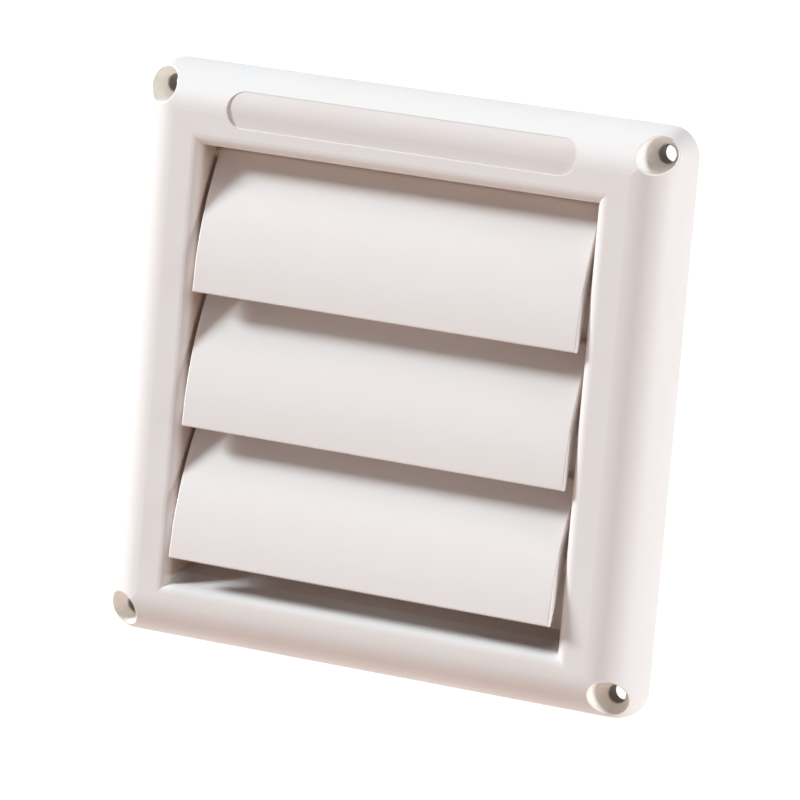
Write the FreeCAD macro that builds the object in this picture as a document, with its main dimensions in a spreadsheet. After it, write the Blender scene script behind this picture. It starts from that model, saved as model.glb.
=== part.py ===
import FreeCAD, Part
import math
import operator
import os
from types import SimpleNamespace

import Sketcher
from FreeCAD import Placement, Rotation, Vector

# Dryer vent cap: a square moulded hood with a round duct collar behind it and three hanging louvres.
# X runs to the right, Y into the wall and Z up. The back of the flange is the plane Y = 0, the
# origin is on the axis of the duct collar, and the louvres face -Y.

LOUVRES = ("top_louvre", "middle_louvre", "bottom_louvre")

# Driving sizes in millimetres
SIZES = (
    ("collar_diameter", "99", "outside of the collar, for a duct of 4 in"),
    ("collar_wall", "2", "thickness of the collar"),
    ("collar_length", "28", "how far the collar stands into the wall"),
    ("collar_lead", "0.8", "chamfer round the collar's free end"),
    ("collar_side_gap", "6.04", "from the collar's side to the side of the recess"),
    ("collar_top_gap", "6.2", "from the collar's top to the top of the recess"),
    ("collar_bottom_gap", "6.9", "from the collar's bottom to the back of the sill"),
    ("sill_fall", "4.26", "fall of the sill from the rear plate to the front"),
    ("face_depth", "15.12", "from the wall to the front of the flange"),
    ("shell_wall", "2", "thickness of the flange, the recess walls and the rear plate"),
    ("rim_radius", "3", "rounding of the recess's front edge"),
    ("side_flat", "5.66", "flat band at each side of the recess"),
    ("top_flat", "5.5", "flat band above the recess"),
    ("bottom_flat", "0.54", "flat band below the recess"),
    ("curve_width", "12", "width of the curve that falls to the flange's edge"),
    ("edge_lip", "1.5", "straight edge that meets the wall"),
    ("corner_radius", "7.8", "plan radius of the flange's corners"),
    ("screw_edge", "6.8", "from the flange's edge to a screw's axis"),
    ("screw_diameter", "4.6", "screw hole"),
    ("screw_seat", "4.6", "thickness under a screw's head"),
    ("screw_bevel", "0.3", "bevel round the front of a screw hole"),
    ("pocket_diameter", "9", "screw pocket"),
    ("dish_depth", "2.8", "depth of the cone at the bottom of a screw pocket"),
    ("pocket_edge_radius", "0.3", "rounding of a screw pocket's mouth"),
    ("plate_length", "99", "sunk name plate, end to end"),
    ("plate_height", "9.5", "sunk name plate, top to bottom"),
    ("plate_rise", "5.75", "from the top of the recess to the name plate"),
    ("plate_depth", "0.75", "depth of the sunk name plate at its lower edge"),
    ("plate_lift", "0.9", "how much higher than the face the floor of the name plate curves away"),
    ("pivot_drop", "2.7", "from the top of the recess to the first pivot"),
    ("pivot_inset", "9.9", "from the front of the flange back to a pivot"),
    ("bead_radius", "1.75", "half the thickness of a louvre at its pivot"),
    ("pin_radius", "1.5", "pivot pin"),
    ("pin_clearance", "0.06", "between a pin and its socket, all round"),
    ("pin_setback", "0.2", "from a pin's end to the outside of the recess wall"),
    ("louvre_end_gap", "1.2", "from a louvre's end to the side of the recess"),
    ("louvre_proud", "1.3", "how far a lower edge stands in front of the flange"),
    ("louvre_cover", "0.2", "height of a lower edge above the next pivot"),
    ("louvre_radius", "73", "radius of a louvre's outer face"),
    ("blade_thickness", "1.4", "thickness of a louvre's blade"),
    ("cheek_thickness", "1.5", "thickness of a louvre's end cheeks"),
    ("blade_edge_radius", "0.4", "rounding of a louvre's lower and end edges"),
    ("sill_clearance", "7.7", "from the sill's front edge up to the lowest louvre"),
    ("stop_drop", "18", "from a pivot down to the top of its stops"),
    ("stop_height", "3.2", "height of a stop"),
    ("stop_reach", "2.6", "how far a stop stands out from the side of the recess"),
    ("stop_clearance", "0.15", "between a closed louvre and its stops"),
    ("lowest_hang", "2.6", "how many degrees further open the lowest louvre rests than the others"),
)

# Sizes that follow from the driving ones
WORKED = (
    ("collar_radius", "sizes.collar_diameter / 2"),
    ("recess_half_width", "collar_radius + sizes.collar_side_gap"),
    ("recess_top", "collar_radius + sizes.collar_top_gap"),
    ("sill_back", "collar_radius + sizes.collar_bottom_gap"),
    ("sill_front", "sill_back + sizes.sill_fall"),
    ("face_half_width", "recess_half_width + sizes.rim_radius + sizes.side_flat + sizes.curve_width"),
    ("face_top", "recess_top + sizes.rim_radius + sizes.top_flat + sizes.curve_width"),
    ("face_bottom", "sill_front + sizes.rim_radius + sizes.bottom_flat + sizes.curve_width"),
    ("screw_side", "face_half_width - sizes.screw_edge"),
    ("screw_top", "face_top - sizes.screw_edge"),
    ("screw_bottom", "face_bottom - sizes.screw_edge"),
    ("sill_slope", "sizes.sill_fall / (sizes.face_depth - sizes.shell_wall)"),
    ("sill_wall_drop", "sizes.shell_wall * sqrt(1 + sill_slope ^ 2)"),
    ("pivot_depth", "sizes.face_depth - sizes.pivot_inset"),
    ("pivot_top", "recess_top - sizes.pivot_drop"),
    (
        "louvre_pitch",
        f"(pivot_top + sizes.louvre_cover + sill_front - sizes.sill_clearance) / {len(LOUVRES)}",
    ),
    ("louvre_half_width", "recess_half_width - sizes.louvre_end_gap"),
    ("pin_half_span", "recess_half_width + sizes.shell_wall - sizes.pin_setback"),
    ("tip_forward", "sizes.pivot_inset + sizes.louvre_proud"),
    ("tip_drop", "louvre_pitch - sizes.louvre_cover"),
    ("tip_distance", "sqrt(tip_forward ^ 2 + tip_drop ^ 2)"),
    ("core_radius", "sizes.louvre_radius - sizes.bead_radius"),
    (
        "centre_along",
        "(tip_distance ^ 2 + core_radius ^ 2 - sizes.louvre_radius ^ 2) / (2 * tip_distance)",
    ),
    ("centre_aside", "sqrt(core_radius ^ 2 - centre_along ^ 2)"),
    ("centre_back", "(centre_aside * tip_drop - centre_along * tip_forward) / tip_distance"),
    ("centre_drop", "(centre_along * tip_drop + centre_aside * tip_forward) / tip_distance"),
    ("bead_share", "sizes.bead_radius / core_radius"),
    ("hollow_share", "(sizes.bead_radius - sizes.blade_thickness) / core_radius"),
    ("blade_share", "sizes.blade_thickness / sizes.louvre_radius"),
    ("inner_tip_forward", "tip_forward - (tip_forward + centre_back) * blade_share"),
    ("inner_tip_drop", "tip_drop - (tip_drop - centre_drop) * blade_share"),
    ("cheek_slope", "inner_tip_forward / inner_tip_drop"),
    ("stop_end_drop", "sizes.stop_drop + sizes.stop_height"),
    ("stop_gap", "sizes.stop_clearance * sqrt(1 + cheek_slope ^ 2)"),
    ("stop_start_depth", "pivot_depth + sizes.stop_drop * cheek_slope - stop_gap"),
    ("stop_end_depth", "pivot_depth + stop_end_drop * cheek_slope - stop_gap"),
    ("lowest_slope", "tan(atan(cheek_slope) + sizes.lowest_hang * 1deg)"),
    ("lowest_gap", "sizes.stop_clearance * sqrt(1 + lowest_slope ^ 2)"),
    ("lowest_start_depth", "pivot_depth + sizes.stop_drop * lowest_slope - lowest_gap"),
    ("lowest_end_depth", "pivot_depth + stop_end_drop * lowest_slope - lowest_gap"),
)

SIDES = (-1, 1)

doc = FreeCAD.newDocument("dryer_vent_cap")


class Size:
    """A length held twice: as the number to draw with, and as the formula that it follows."""

    def __init__(self, value, formula):
        self.value = value
        self.formula = formula

    def combined(self, operation, sign, other):
        if not isinstance(other, Size):
            other = Size(other, str(other))
        value = operation(self.value, other.value)
        return Size(value, f"({self.formula} {sign} {other.formula})")

    def __add__(self, other):
        return self.combined(operator.add, "+", other)

    def __sub__(self, other):
        return self.combined(operator.sub, "-", other)

    def __mul__(self, other):
        return self.combined(operator.mul, "*", other)

    def __truediv__(self, other):
        return self.combined(operator.truediv, "/", other)

    def __neg__(self):
        return Size(-self.value, f"(-{self.formula})")

    def on_side(self, side):
        return self if side > 0 else -self

    def root(self):
        return Size(math.sqrt(self.value), f"sqrt({self.formula})")


def fill_sheet(name, rows):
    """A spreadsheet of named cells, and each of its values as a Size."""
    sheet = doc.addObject("Spreadsheet::Sheet", name)
    for number, (alias, content, *note) in enumerate(rows, start=1):
        sheet.set(f"A{number}", alias)
        sheet.set(f"B{number}", content)
        sheet.set(f"C{number}", "".join(note))
        sheet.setAlias(f"B{number}", alias)
    doc.recompute()
    return {row[0]: Size(float(getattr(sheet, row[0])), f"{name}.{row[0]}") for row in rows}


mm = SimpleNamespace(
    **fill_sheet("sizes", SIZES),
    **fill_sheet("worked", [(alias, "=" + formula) for alias, formula in WORKED]),
)

NOTHING = Size(0.0, "0")
# How far a cutting tool runs past the face that it opens
OVERCUT = Size(1.0, "1")
# How far a piece that is fused on reaches into what carries it
BITE = Size(0.5, "0.5")

# Turns of a sketch or a tool from the one it is drawn in
FACE_TURN = Rotation(Vector(1, 0, 0), 90)
SECTION_TURN = Rotation(Vector(0, 1, 0), -90)
ALONG_X = Rotation(Vector(0, 1, 0), 90)
ALONG_Y = Rotation(Vector(1, 0, 0), -90)
Y_AXIS = Vector(0, 1, 0)


# Sketches


def new_sketch(name, turn=Rotation()):
    sketch = doc.addObject("Sketcher::SketchObject", name)
    sketch.Placement = Placement(Vector(), turn)
    return sketch


def move(item, path="Placement.Base", x=NOTHING, y=NOTHING, z=NOTHING):
    """Ties an object's place to the sheet."""
    for axis, distance in zip("xyz", (x, y, z)):
        item.setExpression(f"{path}.{axis}", distance.formula)


def dimension(sketch, kind, where, distance):
    index = sketch.addConstraint(Sketcher.Constraint(kind, *where, distance.value))
    sketch.setExpression(f"Constraints[{index}]", distance.formula)


def hold_point(sketch, piece, end, point):
    """Holds an end, or the centre, of a line or an arc by its distances from the origin."""
    for kind, axis, distance in zip(("DistanceX", "DistanceY"), (-2, -1), point):
        if distance.value == 0:
            sketch.addConstraint(Sketcher.Constraint("PointOnObject", piece, end, axis))
        elif distance.value > 0:
            dimension(sketch, kind, (-1, 1, piece, end), distance)
        else:
            dimension(sketch, kind, (piece, end, -1, 1), -distance)


def flat_vector(point):
    return Vector(point[0].value, point[1].value, 0)


def add_ellipse_arc(sketch, start, end, centre, across, upward):
    """Counter-clockwise arc of an upright ellipse with the two given half axes."""
    middle = flat_vector(centre)
    tall = upward.value > across.value
    if tall:
        ends = (middle + Vector(0, upward.value, 0), middle - Vector(across.value, 0, 0))
    else:
        ends = (middle + Vector(across.value, 0, 0), middle + Vector(0, upward.value, 0))
    ellipse = Part.Ellipse(*ends, middle)
    first = ellipse.parameter(start)
    last = ellipse.parameter(end)
    if last < first:
        last += 2 * math.pi
    piece = sketch.addGeometry(Part.ArcOfEllipse(ellipse, first, last), False)
    long_axis = sketch.GeometryCount
    sketch.exposeInternalGeometry(piece)
    sketch.addConstraint(Sketcher.Constraint("Vertical" if tall else "Horizontal", long_axis))
    hold_point(sketch, piece, 3, centre)
    return piece


def add_circle_arc(sketch, start, end, centre):
    """Counter-clockwise arc of a circle; its radius follows from the points it is held by."""
    middle = flat_vector(centre)
    circle = Part.Circle(middle, Vector(0, 0, 1), middle.distanceToPoint(start))
    angles = [math.atan2(point.y - middle.y, point.x - middle.x) for point in (start, end)]
    if angles[1] < angles[0]:
        angles[1] += 2 * math.pi
    return sketch.addGeometry(Part.ArcOfCircle(circle, *angles), False)


def draw_outline(sketch, points, ellipses=None, circles=None):
    """Closed counter-clockwise outline, each corner held by its distances from the origin.

    A side is straight unless ellipses or circles gives, by the number of the corner that it
    starts at, its centre, and for an ellipse its half axes.
    """
    corners = [flat_vector(point) for point in points]
    pieces = []
    for number, start in enumerate(corners):
        end = corners[(number + 1) % len(corners)]
        if ellipses and number in ellipses:
            pieces.append(add_ellipse_arc(sketch, start, end, *ellipses[number]))
        elif circles and number in circles:
            pieces.append(add_circle_arc(sketch, start, end, circles[number]))
        else:
            pieces.append(sketch.addGeometry(Part.LineSegment(start, end), False))
    for before, after in zip(pieces, pieces[1:] + pieces[:1]):
        sketch.addConstraint(Sketcher.Constraint("Coincident", before, 2, after, 1))
    for piece, point in zip(pieces, points):
        hold_point(sketch, piece, 1, point)
    for number, centre in (circles or {}).items():
        # Two ends and one distance of the centre settle an arc
        kind, distance = ("DistanceX", centre[0])
        where = (-1, 1, pieces[number], 3) if distance.value > 0 else (pieces[number], 3, -1, 1)
        dimension(sketch, kind, where, distance if distance.value > 0 else -distance)


def draw_circle(sketch, radius):
    circle = Part.Circle(Vector(), Vector(0, 0, 1), radius.value)
    piece = sketch.addGeometry(circle, False)
    sketch.addConstraint(Sketcher.Constraint("Coincident", piece, 3, -1, 1))
    dimension(sketch, "Radius", (piece,), radius)


# Solids


def extrude(name, sketch, length, symmetric=False):
    solid = doc.addObject("Part::Extrusion", name)
    solid.Base = sketch
    solid.DirMode = "Normal"
    solid.Solid = True
    solid.Symmetric = symmetric
    solid.setExpression("LengthFwd", length.formula)
    return solid


def revolve(name, sketch, angle, x, z):
    """Turns a sketch about the line along Y through the given place."""
    solid = doc.addObject("Part::Revolution", name)
    solid.Source = sketch
    solid.Axis = Y_AXIS
    solid.Angle = angle
    solid.Solid = True
    move(sketch, x=x, z=z)
    move(solid, "Base", x=x, z=z)
    return solid


def cylinder(name, turn, radius, length, **place):
    solid = doc.addObject("Part::Cylinder", name)
    solid.Placement = Placement(Vector(), turn)
    solid.setExpression("Radius", radius.formula)
    solid.setExpression("Height", length.formula)
    move(solid, **place)
    return solid


def join(kind, name, shapes):
    solid = doc.addObject(f"Part::Multi{kind}", name)
    solid.Shapes = list(shapes)
    solid.Refine = True
    return solid


def cut(name, base, tool):
    solid = doc.addObject("Part::Cut", name)
    solid.Base = base
    solid.Tool = tool
    solid.Refine = True
    return solid


def soften(kind, name, base, size, is_picked):
    """Fillet or Chamfer on the edges that is_picked names; its size follows the sheet in this file."""
    doc.recompute()
    solid = doc.addObject(f"Part::{kind}", name)
    solid.Base = base
    numbered = enumerate(base.Shape.Edges, start=1)
    solid.Edges = [(number, size.value, size.value) for number, edge in numbered if is_picked(edge)]
    return solid


# Domed block: the outside of the flange, and with an inset the hollow behind it


def dome_section(name, turn, low, high, inset, back):
    """Section across the flange, from its straight lips in a quarter of an ellipse to the front."""
    depth = mm.face_depth - inset
    width = mm.curve_width - inset
    rise = depth - mm.edge_lip
    start = -(low - inset)
    end = high - inset
    points = (
        (start, back),
        (start, -mm.edge_lip),
        (start + width, -depth),
        (end - width, -depth),
        (end, -mm.edge_lip),
        (end, back),
    )
    ellipses = {
        1: ((start + width, -mm.edge_lip), width, rise),
        3: ((end - width, -mm.edge_lip), width, rise),
    }
    sketch = new_sketch(name, turn)
    draw_outline(sketch, points, ellipses)
    return sketch


CORNERS = (
    # Side, level and the turn about Y that brings the section to the quarter's start
    (1, 1, -90),
    (1, -1, 0),
    (-1, -1, 90),
    (-1, 1, 180),
)


def corner_centre(side, level):
    across = (mm.face_half_width - mm.corner_radius).on_side(side)
    upward = (mm.face_top if level > 0 else mm.face_bottom) - mm.corner_radius
    return across, upward.on_side(level)


def corner_block(name, side, level):
    """The square corner of the flange, out to beyond its edges."""
    block = doc.addObject("Part::Box", name)
    reach = mm.corner_radius + OVERCUT
    block.setExpression("Length", reach.formula)
    block.setExpression("Height", reach.formula)
    block.setExpression("Width", (mm.face_depth + OVERCUT * 3).formula)
    across, upward = corner_centre(side, level)
    move(
        block,
        x=across if side > 0 else across - reach,
        y=-(mm.face_depth + OVERCUT),
        z=upward if level > 0 else upward - reach,
    )
    return block


def domed_cross(name, inset, back):
    """A block whose front falls to its four edges in an elliptical curve, without its corners."""
    half = mm.face_half_width
    plan = dome_section(name + "_plan", Rotation(), half, half, inset, back)
    profile = dome_section(
        name + "_profile", SECTION_TURN, mm.face_bottom, mm.face_top, inset, back
    )
    upright = extrude(name + "_upright", plan, (mm.face_top + mm.face_bottom) * 2, symmetric=True)
    sideways = extrude(name + "_sideways", profile, half * 4, symmetric=True)
    crossed = join("Common", name + "_crossed", (upright, sideways))
    blocks = [corner_block(f"{name}_block_{n}", *corner[:2]) for n, corner in enumerate(CORNERS, 1)]
    return cut(name, crossed, join("Fuse", name + "_blocks", blocks))


def corner_post(name, side, level, turn):
    """One corner of the flange: its curve turned round the centre of the plan radius."""
    radius = mm.corner_radius
    width = mm.curve_width
    rise = mm.face_depth - mm.edge_lip
    share = (width - radius) / width
    height = mm.edge_lip + rise * (Size(1, "1") - share * share).root()
    points = ((NOTHING, NOTHING), (NOTHING, -height), (radius, -mm.edge_lip), (radius, NOTHING))
    sketch = new_sketch(name + "_section", Rotation(Y_AXIS, turn))
    draw_outline(sketch, points, {1: ((radius - width, -mm.edge_lip), width, rise)})
    return revolve(name, sketch, 90, *corner_centre(side, level))


def flange_block():
    posts = [corner_post(f"corner_{n}", *corner) for n, corner in enumerate(CORNERS, 1)]
    return join("Fuse", "flange", [domed_cross("flange_cross", NOTHING, NOTHING), *posts])


# Recess


def recess_block(name, margin, floor_margin, front, back):
    """The recess with its sloping sill, or by a margin the walls round it, drawn along X."""
    floors = [
        -(mm.sill_back + floor_margin + mm.sill_slope * (depth - mm.shell_wall))
        for depth in (front, back)
    ]
    top = mm.recess_top + margin
    points = ((floors[0], -front), (top, -front), (top, -back), (floors[1], -back))
    sketch = new_sketch(name + "_section", SECTION_TURN)
    draw_outline(sketch, points)
    return extrude(name, sketch, (mm.recess_half_width + margin) * 2, symmetric=True)


def on_recess_mouth(edge):
    """True for an edge between the front of the flange and the recess."""
    reach = max(mm.recess_top.value, mm.sill_front.value, mm.recess_half_width.value)
    return all(
        abs(vertex.Y + mm.face_depth.value) < 1e-4
        and abs(vertex.X) < reach + mm.rim_radius.value
        and abs(vertex.Z) < reach + mm.rim_radius.value
        for vertex in edge.Vertexes
    )


# Screws


def at_each_screw(name, make):
    """One shape on the axis of each of the four screws."""
    return [
        make(f"{name}_{number}", mm.screw_side.on_side(side), height)
        for number, (side, height) in enumerate(
            ((side, height) for side in SIDES for height in (mm.screw_top, -mm.screw_bottom)), 1
        )
    ]


def screw_boss(name, x, z):
    radius = mm.pocket_diameter / 2 + mm.shell_wall
    length = mm.face_depth + OVERCUT * 2
    return cylinder(name, ALONG_Y, radius, length, x=x, y=-mm.face_depth, z=z)


def screw_pocket(name, x, z):
    """A pocket with a coned floor, and its screw hole."""
    hole = mm.screw_diameter / 2
    wide = mm.pocket_diameter / 2
    front = mm.face_depth + OVERCUT
    points = (
        (NOTHING, OVERCUT),
        (NOTHING, -front),
        (wide, -front),
        (wide, -(mm.screw_seat + mm.dish_depth)),
        (hole + mm.screw_bevel, -mm.screw_seat),
        (hole, -(mm.screw_seat - mm.screw_bevel)),
        (hole, OVERCUT),
    )
    sketch = new_sketch(name + "_section")
    draw_outline(sketch, points)
    return revolve(name, sketch, 360, x, z)


def on_pocket_mouth(edge):
    """True for a curved edge between the front of the flange and a screw pocket."""
    radius = mm.pocket_diameter.value / 2

    def on_pocket_wall(point):
        height = mm.screw_top.value if point.z > 0 else -mm.screw_bottom.value
        distance = math.hypot(abs(point.x) - mm.screw_side.value, point.z - height)
        return abs(distance - radius) < 1e-2

    is_curved = edge.Curve.TypeId == "Part::GeomBSplineCurve"
    return is_curved and all(on_pocket_wall(point) for point in edge.discretize(5))


# Duct collar


def collar_tube():
    """Collar with a lead-in, reaching a little into the rear plate."""
    length = mm.collar_length + BITE
    outside = cylinder("collar_outside", ALONG_Y, mm.collar_radius, length, y=-BITE)

    def at_free_end(edge):
        return all(abs(vertex.Y - mm.collar_length.value) < 1e-4 for vertex in edge.Vertexes)

    return soften("Chamfer", "collar_tube", outside, mm.collar_lead, at_free_end)


def collar_bore():
    start = mm.shell_wall + OVERCUT
    length = start + mm.collar_length + OVERCUT
    return cylinder("collar_bore", ALONG_Y, mm.collar_radius - mm.collar_wall, length, y=-start)


# Sunk name plate, left bare


def name_plate_tool():
    """A long round-ended slot whose floor follows the face, and comes near it at the top."""
    radius = mm.plate_height / 2
    half = mm.plate_length / 2 - radius
    outline = new_sketch("plate_outline", FACE_TURN)
    move(outline, y=-(mm.face_depth / 2), z=mm.recess_top + mm.plate_rise + radius)
    points = ((-half, -radius), (half, -radius), (half, radius), (-half, radius))
    draw_outline(outline, points, circles={1: (half, NOTHING), 3: (-half, NOTHING)})
    slot = extrude("plate_slot", outline, mm.face_depth / 2 + OVERCUT)
    floor_profile = dome_section(
        "plate_floor_profile", SECTION_TURN, mm.face_bottom, mm.face_top, NOTHING, NOTHING
    )
    move(floor_profile, y=mm.plate_depth, z=mm.plate_lift)
    floor = extrude("plate_floor", floor_profile, mm.face_half_width * 4, symmetric=True)
    return cut("name_plate", slot, floor)


# Pivots and stops of the louvres


def pivot_height(number):
    return mm.pivot_top - mm.louvre_pitch * number


def is_lowest(number):
    return number == len(LOUVRES) - 1


def socket_bore(number):
    """The two sockets of one louvre, in one line through both side walls."""
    half = mm.recess_half_width + mm.shell_wall + OVERCUT
    return cylinder(
        f"sockets_{number + 1}",
        ALONG_X,
        mm.pin_radius + mm.pin_clearance,
        half * 2,
        x=-half,
        y=-mm.pivot_depth,
        z=pivot_height(number),
    )


def louvre_stop(number, side):
    """A rib on the side of the recess, whose front is parallel to the back of the cheek."""
    name = f"stop_{number + 1}_{'right' if side > 0 else 'left'}"
    root = mm.shell_wall - BITE
    if is_lowest(number):
        start_depth, end_depth = mm.lowest_start_depth, mm.lowest_end_depth
    else:
        start_depth, end_depth = mm.stop_start_depth, mm.stop_end_depth
    points = (
        (-mm.stop_end_drop, -end_depth),
        (-mm.stop_drop, -start_depth),
        (-mm.stop_drop, -root),
        (-mm.stop_end_drop, -root),
    )
    sketch = new_sketch(name + "_section", SECTION_TURN)
    draw_outline(sketch, points)
    start = mm.recess_half_width + BITE if side > 0 else mm.stop_reach - mm.recess_half_width
    move(sketch, x=start, z=pivot_height(number))
    return extrude(name, sketch, mm.stop_reach + BITE)


# Hood body: one moulding


def make_hood():
    front = mm.face_depth + OVERCUT
    recess = recess_block("recess", NOTHING, NOTHING, front, mm.shell_wall)
    framed = cut("framed", flange_block(), recess)
    rimmed = soften("Fillet", "rimmed", framed, mm.rim_radius, on_recess_mouth)

    # The hollow leaves the walls of the recess and the screws' bosses, which fill its corners
    hollow_block = domed_cross("hollow_block", mm.shell_wall, OVERCUT)
    walls = recess_block(
        "walls",
        mm.shell_wall,
        mm.sill_wall_drop,
        mm.face_depth - mm.shell_wall / 2,
        -(OVERCUT * 2),
    )
    kept = join("Fuse", "kept", [walls, *at_each_screw("boss", screw_boss)])
    shell = cut("shell", rimmed, cut("hollow", hollow_block, kept))

    numbers = range(len(LOUVRES))
    stops = [louvre_stop(number, side) for number in numbers for side in SIDES]
    whole = join("Fuse", "whole", [shell, collar_tube(), *stops])
    tools = [
        collar_bore(),
        name_plate_tool(),
        *at_each_screw("pocket", screw_pocket),
        *[socket_bore(number) for number in numbers],
    ]
    pierced = cut("pierced", whole, join("Fuse", "openings", tools))
    return soften("Fillet", "hood_body", pierced, mm.pocket_edge_radius, on_pocket_mouth)


# Louvre: one moulding, with its pivot on the origin of its own frame


def body_sketch(body, name):
    """A sketch in the body's own YZ plane: Y is across the sketch and Z is up."""
    sketch = body.newObject("Sketcher::SketchObject", name)
    plane = next(item for item in body.Origin.OriginFeatures if item.Role == "YZ_Plane")
    sketch.AttachmentSupport = [(plane, "")]
    sketch.MapMode = "FlatFace"
    return sketch


def body_feature(body, kind, name, sketch, half_width):
    """Pad or Pocket, as far to the left of the sketch as to the right."""
    feature = body.newObject(f"PartDesign::{kind}", name)
    feature.Profile = sketch
    feature.SideType = "Symmetric"
    feature.setExpression("Length", (half_width * 2).formula)
    return feature


def make_louvre(name, number):
    centre = (mm.centre_back, -mm.centre_drop)
    tip = (-mm.tip_forward, -mm.tip_drop)
    inner_tip = (-mm.inner_tip_forward, -mm.inner_tip_drop)
    bead_point = (-(mm.centre_back * mm.bead_share), mm.centre_drop * mm.bead_share)
    hollow_point = (-(mm.centre_back * mm.hollow_share), mm.centre_drop * mm.hollow_share)

    body = doc.addObject("PartDesign::Body", name)
    body.Label = name

    outside = body_sketch(body, f"{name}_outside")
    draw_outline(outside, (bead_point, tip, inner_tip, (NOTHING, NOTHING)), circles={0: centre})
    blade = body_feature(body, "Pad", f"{name}_blade", outside, mm.louvre_half_width)
    doc.recompute()

    def is_softened(edge):
        """The lower front edge, and both ends of the outer face."""
        lowest = all(abs(v.Y - tip[0].value) + abs(v.Z - tip[1].value) < 1e-4 for v in edge.Vertexes)
        return lowest or (edge.Curve.TypeId == "Part::GeomCircle")

    edges = [f"Edge{n}" for n, edge in enumerate(blade.Shape.Edges, 1) if is_softened(edge)]
    softened = body.newObject("PartDesign::Fillet", f"{name}_softened")
    softened.Base = (blade, edges)
    softened.setExpression("Radius", mm.blade_edge_radius.formula)

    inside = body_sketch(body, f"{name}_inside")
    points = (hollow_point, inner_tip, (inner_tip[0] + mm.bead_radius, inner_tip[1]), (OVERCUT, NOTHING))
    draw_outline(inside, points, circles={0: centre})
    body_feature(
        body, "Pocket", f"{name}_hollow", inside, mm.louvre_half_width - mm.cheek_thickness
    )

    for part, radius, half_width in (
        ("bead", mm.bead_radius, mm.louvre_half_width),
        ("pins", mm.pin_radius, mm.pin_half_span),
    ):
        sketch = body_sketch(body, f"{name}_{part}_circle")
        draw_circle(sketch, radius)
        body_feature(body, "Pad", f"{name}_{part}", sketch, half_width)
    if is_lowest(number):
        body.Placement = Placement(Vector(), Rotation(Vector(-1, 0, 0), mm.lowest_hang.value))
        body.setExpression("Placement.Rotation.Angle", f"{mm.lowest_hang.formula} * 1deg")
    move(body, y=-mm.pivot_depth, z=pivot_height(number))
    return body


def check_model(pieces):
    """Stops at any object that did not recompute, and at any piece without a sound solid."""
    doc.recompute()
    for item in doc.Objects:
        if {"Invalid", "Error"} & set(item.State):
            raise RuntimeError(f"{item.Name} did not recompute: {item.State}")
    for piece in pieces:
        if piece.Shape.isNull() or not piece.Shape.isValid() or len(piece.Shape.Solids) != 1:
            raise RuntimeError(f"{piece.Label} is not one sound solid")


pieces = [make_hood()]
pieces += [make_louvre(name, number) for number, name in enumerate(LOUVRES)]
check_model(pieces)

os.makedirs("parts", exist_ok=True)
for piece in pieces:
    piece.Shape.exportStep(f"parts/{piece.Label}.step")
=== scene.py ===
"""Finishes, studio and camera for a louvred dryer vent cap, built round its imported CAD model."""

import bpy
from bpy.props import FloatProperty, FloatVectorProperty, PointerProperty
from mathutils import Euler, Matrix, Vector

bl_info = {
    "name": "Dryer vent cap",
    "version": (1, 0, 0),
    "blender": (4, 5, 0),
    "location": "View3D > Sidebar > Vent Cap",
    "description": "Moulded finishes, studio light and camera for a louvred dryer vent cap",
    "category": "Object",
}

LOUVRES = ("top_louvre", "middle_louvre", "bottom_louvre")

# Borders between finishes, in metres
SOFT_EDGE = 0.0005
SIDE_BAND = 0.006
SIDE_BAND_EDGE = 0.001
PLATE_BACK = 0.006
PLATE_FRONT = 0.007
FRAY = 0.0004

# Colours and shares of the shaders
BLACK = (0, 0, 0, 1)
WHITE = (1, 1, 1, 1)
PLASTIC_IOR = 1.46
FLOW_STRETCH = (0.04, 1.0, 1.0)
PAPER_CLOUD = 0.4
PAPER_DRIFT = 0.94

# Camera, in millimetres and in metres
SENSOR_WIDTH = 36.0
NEAREST = 0.1
FARTHEST = 60.0

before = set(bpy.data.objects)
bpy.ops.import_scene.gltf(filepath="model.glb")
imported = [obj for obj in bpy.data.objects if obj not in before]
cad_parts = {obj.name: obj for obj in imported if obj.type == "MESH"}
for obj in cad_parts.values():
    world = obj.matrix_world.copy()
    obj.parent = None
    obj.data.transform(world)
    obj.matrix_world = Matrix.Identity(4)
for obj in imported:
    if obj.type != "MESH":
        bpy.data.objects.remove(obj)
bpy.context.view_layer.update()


# Node trees


def usable(sockets, key):
    """The socket with that number, or the first one in use with that name."""
    if isinstance(key, int):
        return sockets[key]
    return next(socket for socket in sockets if socket.enabled and socket.name == key)


class Wire:
    """A socket that gives a value. Arithmetic on it adds the Math nodes that work it out."""

    def __init__(self, tree, socket):
        self.tree = tree
        self.socket = socket

    def math(self, operation, *operands):
        return self.tree.add(
            "ShaderNodeMath", {"operation": operation}, dict(enumerate(operands))
        )

    def __add__(self, other):
        return self.math("ADD", self, other)

    def __radd__(self, other):
        return self.math("ADD", other, self)

    def __sub__(self, other):
        return self.math("SUBTRACT", self, other)

    def __rsub__(self, other):
        return self.math("SUBTRACT", other, self)

    def __mul__(self, other):
        return self.math("MULTIPLY", self, other)

    def __rmul__(self, other):
        return self.math("MULTIPLY", other, self)

    def __abs__(self):
        return self.math("ABSOLUTE", self)

    def root(self):
        return self.math("SQRT", self)

    def least(self, other):
        return self.math("MINIMUM", self, other)

    def most(self, other):
        return self.math("MAXIMUM", self, other)


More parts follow.
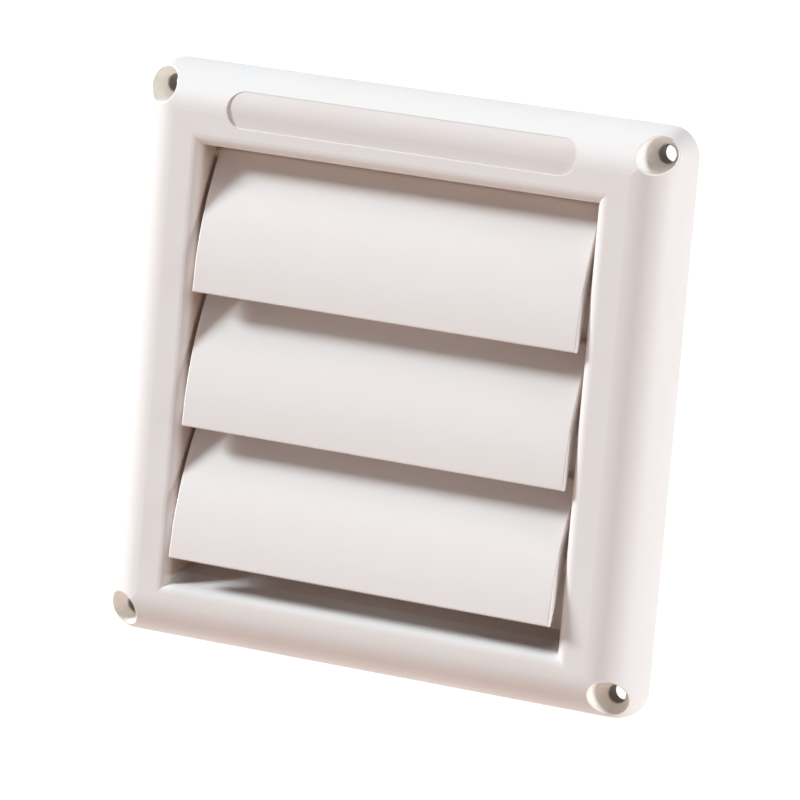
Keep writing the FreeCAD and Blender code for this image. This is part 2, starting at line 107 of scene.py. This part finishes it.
class Tree:
    """The node tree of a material or a world."""

    def __init__(self, owner):
        owner.use_nodes = True
        self.nodes = owner.node_tree.nodes
        self.links = owner.node_tree.links
        self.nodes.clear()

    def add(self, kind, settings=None, inputs=None, output=None):
        """Adds a node, with its settings first and then its sockets, and gives one output."""
        node = self.nodes.new(kind)
        for key, value in (settings or {}).items():
            setattr(node, key, value)
        for key, value in (inputs or {}).items():
            socket = usable(node.inputs, key)
            if isinstance(value, Wire):
                self.links.new(value.socket, socket)
            else:
                socket.default_value = value
        if output is None:
            output = next((socket.name for socket in node.outputs if socket.enabled), None)
        return Wire(self, usable(node.outputs, output)) if output else None

    def place(self):
        """The point on the piece, in metres, as it lies at rest."""
        return self.add("ShaderNodeTexCoord", output="Object")

    def parts(self, place):
        """The three coordinates of a point."""
        return [self.add("ShaderNodeSeparateXYZ", {}, {"Vector": place}, axis) for axis in "XYZ"]

    def stretched(self, place, factors):
        return self.add(
            "ShaderNodeVectorMath", {"operation": "MULTIPLY"}, {0: place, 1: factors}
        )

    def noise(self, place, size, detail=2.0, roughness=0.5):
        """Noise from 0 to 1 around 0.5, whose lumps are about that size in metres."""
        return self.add(
            "ShaderNodeTexNoise",
            {"noise_dimensions": "3D"},
            {"Vector": place, "Scale": 1 / size, "Detail": detail, "Roughness": roughness},
            "Fac",
        )

    def ramp(self, value, low, high):
        """0 up to low, 1 from high, and smooth between them."""
        return self.add(
            "ShaderNodeMapRange",
            {"interpolation_type": "SMOOTHSTEP"},
            {"Value": value, "From Min": low, "From Max": high},
        )

    def blend(self, share, first, second):
        """A colour that goes from the first to the second."""
        return self.add(
            "ShaderNodeMix",
            {"data_type": "RGBA"},
            {"Factor": share, "A": first, "B": second},
        )

    def bump(self, height, distance, strength=1.0):
        return self.add(
            "ShaderNodeBump",
            {},
            {"Height": height, "Distance": distance, "Strength": strength},
        )


def opaque(colour):
    return (*colour, 1.0)


# Settings


def colour_property(name, description, default):
    return FloatVectorProperty(
        name=name,
        description=description,
        subtype="COLOR",
        size=3,
        min=0.0,
        max=1.0,
        default=default,
    )


def share_property(name, description, default):
    return FloatProperty(
        name=name, description=description, subtype="FACTOR", min=0.0, max=1.0, default=default
    )


def length_property(name, description, default):
    return FloatProperty(
        name=name, description=description, unit="LENGTH", min=0.0, precision=5, default=default
    )


def angle_property(name, description, default):
    return FloatProperty(
        name=name, description=description, subtype="ANGLE", min=0.0, max=3.0, default=default
    )


def direction_property(name, description, default):
    return FloatVectorProperty(
        name=name, description=description, subtype="DIRECTION", default=default
    )


def power_property(name, description, default):
    return FloatProperty(name=name, description=description, min=0.0, default=default)


class MouldedFinish:
    """Settings that the hood and the louvres share."""

    colour: colour_property("Plastic", "Colour of the plastic", (0.83, 0.80, 0.79))
    cloud_colour: colour_property(
        "Clouding", "Colour that the plastic drifts to in broad clouds", (0.80, 0.755, 0.74)
    )
    clouding: share_property("Clouding amount", "How far the clouds reach that colour", 0.5)
    cloud_size: length_property("Cloud size", "Width of a cloud in the colour", 0.035)
    sheen: share_property("Roughness", "Roughness of the plastic where the mould is even", 0.42)
    sheen_drift: share_property("Roughness drift", "How much the roughness wanders", 0.16)
    grain_size: length_property("Grain size", "Width of a grain of the mould's texture", 0.00045)
    grain_height: length_property("Grain height", "Height of the mould's texture", 0.000006)
    sink_size: length_property("Sink size", "Width of the slow waves left by shrinkage", 0.022)
    sink_height: length_property("Sink height", "Height of the slow waves", 0.00003)


class ShadePaintedFinish(MouldedFinish):
    """Settings of a moulding with painted shade: a dust-brown darkening deep in the recess, where
    shade falls.
    """

    # Painted shade: these settings darken the colour towards the wall of the recess, standing in
    # for the shade there.
    painted_shade_colour: colour_property("Dust", "Colour of the fine dust", (0.52, 0.38, 0.30))
    painted_shade: share_property("Dust amount", "How thick the dust lies deep in the recess", 1.0)
    side_painted_shade: share_property("Side dust", "Share of the dust that lies only at the sides", 0.6)
    painted_shade_start: length_property("Dust start", "From the wall out to where the dust ends", 0.0152)
    painted_shade_full: length_property("Dust full", "From the wall out to where it is thickest", 0.0122)
    painted_shade_reach: length_property("Dust reach", "From the duct's axis to where it ends", 0.0578)


class HoodFinish(ShadePaintedFinish, bpy.types.PropertyGroup):
    """Finish of the hood."""

    plate_shade: share_property(
        "Plate shade", "How much darker the etched floor of the name plate is", 0.55
    )
    plate_colour: colour_property("Plate", "Colour of the etched floor", (0.68, 0.61, 0.59))
    plate_half: length_property("Plate half length", "To the middle of a round end", 0.04475)
    plate_radius: length_property("Plate radius", "Radius of the name plate's ends", 0.00475)
    # Painted shade: the screw holes get a dark colour where they lie in shade.
    bore_painted_shade_colour: colour_property("Screw holes", "Colour of the grime in them", (0.14, 0.11, 0.09))
    bore_shade: share_property("Grime", "How thick the grime in the screw holes lies", 0.85)
    # Painted light: the screw pockets get a lighter colour that stands in for light reaching into
    # them.
    pocket_painted_light: colour_property(
        "Screw pockets", "Colour of the polished pockets", (0.97, 0.93, 0.88)
    )
    pocket_radius: length_property("Pocket radius", "Radius of a screw pocket", 0.0045)
    bore_radius: length_property("Hole radius", "Radius of a screw hole", 0.0023)
    bore_side: length_property("Hole side", "From the middle line to a screw hole", 0.0694)
    plate_level: length_property("Plate level", "From the duct's axis up to the plate", 0.0662)


class LouvreFinish(ShadePaintedFinish, bpy.types.PropertyGroup):
    """Finish of the louvres."""

    streak_size: length_property("Streak size", "Width of the flow marks along a louvre", 0.004)
    streaks: share_property("Streaks", "Strength of the flow marks", 0.25)
    # Painted shadow: on the louvres the painted shade lies under the lip of the louvre above.
    painted_shade_start: length_property("Dust start", "From the wall out to where the dust ends", 0.0115)
    painted_shade_full: length_property("Dust full", "From the wall out to where it is thickest", 0.006)


class StudioSettings(bpy.types.PropertyGroup):
    """Light, floor and camera."""

    key_colour: colour_property("Key light", "Colour of the main light", (0.88, 0.96, 1.0))
    key_power: power_property("Key strength", "Strength of the main light", 4.25)
    key_from: direction_property(
        "Key direction", "Where the main light comes from", (-0.81, -0.33, 0.49)
    )
    key_spread: angle_property("Key spread", "How wide the main light looks", 0.22)
    side_colour: colour_property(
        "Side light", "Colour of the light from the right", (0.89, 0.96, 1.0)
    )
    side_power: power_property("Side strength", "Strength of the light from the right", 2.45)
    side_from: direction_property(
        "Side direction", "Where the side light comes from", (0.98, -0.01, 0.18)
    )
    side_spread: angle_property("Side spread", "How wide the side light looks", 0.35)
    top_colour: colour_property("Top light", "Colour of the light from above", (1.0, 0.95, 0.94))
    top_power: power_property("Top strength", "Strength of the light from above", 0.75)
    top_from: direction_property(
        "Top direction", "Where the top light comes from", (0.0, -0.25, 0.97)
    )
    top_spread: angle_property("Top spread", "How wide the top light looks", 0.32)
    floor_colour: colour_property("Floor", "Colour of the floor", (0.92, 0.71, 0.62))
    floor_glow: colour_property(
        "Floor glow", "What the floor adds where it is seen, to be white", (0.30, 0.45, 0.50)
    )
    floor_drop: length_property("Floor drop", "From the duct's axis down to the floor", 0.9)
    floor_width: length_property("Floor width", "Width of the floor", 60.0)
    camera_place: FloatVectorProperty(
        name="Camera place",
        description="Where the camera stands",
        subtype="XYZ",
        unit="LENGTH",
        precision=4,
        default=(0.59032, -1.29359, 0.25199),
    )
    camera_turn: FloatVectorProperty(
        name="Camera turn",
        description="How the camera is turned",
        subtype="EULER",
        default=(1.391653, -0.083754, 0.443408),
    )
    lens: FloatProperty(
        name="Lens", description="Focal length of the camera in millimetres", default=252.03
    )


class VentCapSettings(bpy.types.PropertyGroup):
    """All settings of the vent cap."""

    hood: PointerProperty(type=HoodFinish)
    louvres: PointerProperty(type=LouvreFinish)
    studio: PointerProperty(type=StudioSettings)


# Finishes


def moulded_base(tree, finish, place):
    """Colour, roughness and relief that every moulding of this plastic has."""
    clouds = tree.noise(place, finish.cloud_size, detail=3.0)
    fine = tree.noise(place, finish.cloud_size / 9, detail=4.0, roughness=0.6)
    drift = tree.ramp(clouds * 0.75 + fine * 0.25, 0.3, 0.7)
    colour = tree.blend(
        drift * finish.clouding, opaque(finish.colour), opaque(finish.cloud_colour)
    )
    scuffs = tree.noise(place, finish.cloud_size / 20, detail=5.0, roughness=0.7)
    roughness = (drift + scuffs - 1.0) * finish.sheen_drift + finish.sheen
    grain = tree.noise(place, finish.grain_size, detail=1.0)
    waves = tree.noise(place, finish.sink_size, detail=1.0)
    relief = grain * finish.grain_height + waves * finish.sink_height
    return colour, roughness, relief


def plastic(tree, colour, roughness, relief):
    """The plastic's own shader, as the tree's result."""
    surface = tree.add(
        "ShaderNodeBsdfPrincipled",
        {},
        {
            "Base Color": colour,
            "Roughness": roughness,
            "Normal": tree.bump(relief, 1.0),
            "IOR": PLASTIC_IOR,
        },
    )
    tree.add("ShaderNodeOutputMaterial", {}, {"Surface": surface})


def with_painted_shade(tree, finish, place, colour, roughness):
    """Colour and roughness with painted shade in a dust colour, thicker towards the wall, where
    the recess lies in shade.
    """
    across, depth, up = tree.parts(place)
    depth = -1.0 * depth
    patches = tree.noise(place, finish.cloud_size / 3, detail=4.0, roughness=0.65)
    away = abs(across).most(abs(up))
    limits = tree.ramp(depth, 0.0, SOFT_EDGE) * (
        1.0 - tree.ramp(away, finish.painted_shade_reach, finish.painted_shade_reach + SOFT_EDGE)
    )
    sides = tree.ramp(
        abs(across), finish.painted_shade_reach - SIDE_BAND, finish.painted_shade_reach - SIDE_BAND_EDGE
    )
    reach = limits * (1.0 - tree.ramp(depth, finish.painted_shade_full, finish.painted_shade_start))
    reach = reach * (sides * finish.side_painted_shade + (1.0 - finish.side_painted_shade))
    # Painted shade: the dust colour darkens the recess walls, the sill and the louvre tops where
    # shade falls.
    painted_shade = reach * (tree.ramp(patches, 0.2, 0.8) * 0.3 + 0.7) * finish.painted_shade
    return tree.blend(painted_shade, colour, opaque(finish.painted_shade_colour)), roughness + painted_shade * 0.3


def name_plate(tree, finish, place):
    """1 on the sunk name plate and 0 elsewhere."""
    x, y, z = tree.parts(place)
    across = (abs(x) - finish.plate_half).most(0.0)
    up = z - finish.plate_level
    distance = (across * across + up * up).root()
    inside = 1.0 - tree.ramp(distance, finish.plate_radius * 0.98, finish.plate_radius)
    return inside * tree.ramp(-1.0 * y, PLATE_BACK, PLATE_FRONT)


def screw_places(tree, finish, place):
    """Shares of the four screw pockets, which get painted light, and of the holes in them, which
    get painted shade, broken up a little.
    """
    x, y, z = tree.parts(place)
    across = abs(x) - finish.bore_side
    up = abs(z) - finish.bore_side
    distance = (across * across + up * up).root()
    flecks = tree.noise(place, finish.bore_radius / 3, detail=3.0)
    frayed = distance + (flecks - 0.5) * FRAY
    pocket = 1.0 - tree.ramp(distance, finish.pocket_radius * 1.01, finish.pocket_radius * 1.05)
    bore = 1.0 - tree.ramp(frayed, finish.bore_radius * 1.02, finish.bore_radius * 1.2)
    return pocket, bore * (flecks * 0.4 + 0.8).least(1.0)


def hood_plastic(finish):
    """Hood: the moulded plastic, with painted shade deep in the recess and in the screw holes,
    painted light in the screw pockets, and an etched name plate.
    """
    material = bpy.data.materials.new("hood_plastic")
    tree = Tree(material)
    place = tree.place()
    colour, roughness, relief = moulded_base(tree, finish, place)
    colour, roughness = with_painted_shade(tree, finish, place, colour, roughness)
    plate = name_plate(tree, finish, place)
    etching = tree.noise(place, finish.grain_size * 1.6, detail=2.0)
    colour = tree.blend(
        plate * finish.plate_shade * (etching * 0.3 + 0.85), colour, opaque(finish.plate_colour)
    )
    relief = relief + plate * etching * finish.grain_height * 3.0
    pocket, bore = screw_places(tree, finish, place)
    # Painted light in the screw pockets, then painted shade in the screw holes.
    colour = tree.blend(pocket, colour, opaque(finish.pocket_painted_light))
    painted_hole_shade = bore * finish.bore_shade
    colour = tree.blend(painted_hole_shade, colour, opaque(finish.bore_painted_shade_colour))
    plastic(tree, colour, roughness + plate * 0.2 + painted_hole_shade * 0.3, relief)
    return material


def louvre_plastic(finish):
    """Louvre: the moulded plastic with faint flow marks along its length."""
    material = bpy.data.materials.new("louvre_plastic")
    tree = Tree(material)
    place = tree.place()
    colour, roughness, relief = moulded_base(tree, finish, place)
    along = tree.stretched(place, FLOW_STRETCH)
    marks = tree.noise(along, finish.streak_size, detail=3.0, roughness=0.6)
    streaks = tree.ramp(marks, 0.45, 0.8) * finish.streaks
    colour = tree.blend(streaks * 0.5, colour, opaque(finish.cloud_colour))
    # Painted shadow under the lip of the louvre above, from the painted shade settings.
    colour, roughness = with_painted_shade(tree, finish, place, colour, roughness + streaks * 0.2)
    plastic(tree, colour, roughness, relief)
    return material


def dress(names, material):
    """Puts the finish on the pieces, whose shapes stay the model's own."""
    for name in names:
        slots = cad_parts[name].data.materials
        slots.clear()
        slots.append(material)


# Studio


def lamp(name, colour, power, origin, spread):
    """A wide soft light that comes evenly from one side."""
    light = bpy.data.lights.new(name, "SUN")
    light.color = colour
    light.energy = power
    light.angle = spread
    carrier = bpy.data.objects.new(name, light)
    carrier.location = Vector(origin)
    carrier.rotation_euler = Vector(origin).to_track_quat("Z", "Y").to_euler()
    bpy.context.scene.collection.objects.link(carrier)


def seen_rays(tree):
    """1 for the rays that show the surroundings: straight, mirrored or through glass."""
    camera = tree.add("ShaderNodeLightPath", output="Is Camera Ray")
    glossy = tree.add("ShaderNodeLightPath", output="Is Glossy Ray")
    clear = tree.add("ShaderNodeLightPath", output="Is Transmission Ray")
    return (camera + glossy + clear).least(1.0)


def build_floor(studio):
    half = studio.floor_width / 2
    level = -studio.floor_drop
    signs = ((-1, -1), (1, -1), (1, 1), (-1, 1))
    corners = [(across * half, along * half, level) for across, along in signs]
    mesh = bpy.data.meshes.new("floor")
    mesh.from_pydata(corners, [], [(0, 1, 2, 3)])
    floor = bpy.data.objects.new("floor", mesh)
    bpy.context.scene.collection.objects.link(floor)

    material = bpy.data.materials.new("floor_paper")
    tree = Tree(material)
    paper = tree.noise(tree.place(), PAPER_CLOUD, detail=4.0)
    darker = [share * PAPER_DRIFT for share in studio.floor_colour]
    surface = tree.add(
        "ShaderNodeBsdfPrincipled",
        {},
        {
            "Base Color": tree.blend(paper, opaque(studio.floor_colour), opaque(darker)),
            "Roughness": 0.9,
            "Specular IOR Level": 0.0,
            "Emission Color": tree.blend(seen_rays(tree), BLACK, opaque(studio.floor_glow)),
            "Emission Strength": 1.0,
        },
    )
    tree.add("ShaderNodeOutputMaterial", {}, {"Surface": surface})
    mesh.materials.append(material)


def build_world(studio):
    """White where it is seen and dark otherwise: the lamps and the floor give the light."""
    world = bpy.data.worlds.new("studio")
    bpy.context.scene.world = world
    tree = Tree(world)
    colour = tree.blend(seen_rays(tree), BLACK, WHITE)
    light = tree.add("ShaderNodeBackground", {}, {"Color": colour, "Strength": 1.0})
    tree.add("ShaderNodeOutputWorld", {}, {"Surface": light})


def build_camera(studio):
    lens = bpy.data.cameras.new("camera")
    lens.lens = studio.lens
    lens.sensor_width = SENSOR_WIDTH
    lens.clip_start = NEAREST
    lens.clip_end = FARTHEST
    camera = bpy.data.objects.new("camera", lens)
    camera.location = studio.camera_place
    camera.rotation_euler = Euler(studio.camera_turn)
    bpy.context.scene.collection.objects.link(camera)
    bpy.context.scene.camera = camera


# Operators


class VENTCAP_OT_hood(bpy.types.Operator):
    """Gives the hood its moulded finish"""

    bl_idname = "ventcap.hood"
    bl_label = "Finish hood"

    def execute(self, context):
        dress(("hood_body",), hood_plastic(context.scene.vent_cap.hood))
        return {"FINISHED"}


class VENTCAP_OT_louvres(bpy.types.Operator):
    """Gives the three louvres their moulded finish"""

    bl_idname = "ventcap.louvres"
    bl_label = "Finish louvres"

    def execute(self, context):
        dress(LOUVRES, louvre_plastic(context.scene.vent_cap.louvres))
        return {"FINISHED"}


class VENTCAP_OT_stage(bpy.types.Operator):
    """Sets up the floor, the lights and the camera"""

    bl_idname = "ventcap.stage"
    bl_label = "Set up studio"

    def execute(self, context):
        studio = context.scene.vent_cap.studio
        build_floor(studio)
        build_world(studio)
        for name in ("key", "side", "top"):
            aspects = ("colour", "power", "from", "spread")
            lamp(name, *(getattr(studio, f"{name}_{aspect}") for aspect in aspects))
        build_camera(studio)
        context.scene.view_settings.view_transform = "Standard"
        return {"FINISHED"}


class VENTCAP_PT_panel(bpy.types.Panel):
    """Lists the settings and the steps"""

    bl_label = "Vent cap"
    bl_idname = "VENTCAP_PT_panel"
    bl_space_type = "VIEW_3D"
    bl_region_type = "UI"
    bl_category = "Vent Cap"

    def draw(self, context):
        settings = context.scene.vent_cap
        for group, operator in (
            (settings.hood, VENTCAP_OT_hood),
            (settings.louvres, VENTCAP_OT_louvres),
            (settings.studio, VENTCAP_OT_stage),
        ):
            box = self.layout.box()
            for name in group.bl_rna.properties.keys():
                if name not in ("rna_type", "name"):
                    box.prop(group, name)
            box.operator(operator.bl_idname)


CLASSES = (
    HoodFinish,
    LouvreFinish,
    StudioSettings,
    VentCapSettings,
    VENTCAP_OT_hood,
    VENTCAP_OT_louvres,
    VENTCAP_OT_stage,
    VENTCAP_PT_panel,
)


def register():
    for item in CLASSES:
        bpy.utils.register_class(item)
    bpy.types.Scene.vent_cap = PointerProperty(type=VentCapSettings)


def unregister():
    del bpy.types.Scene.vent_cap
    for item in reversed(CLASSES):
        bpy.utils.unregister_class(item)


def main():
    register()
    bpy.ops.ventcap.hood()
    bpy.ops.ventcap.louvres()
    bpy.ops.ventcap.stage()


if __name__ == "__main__":
    main()
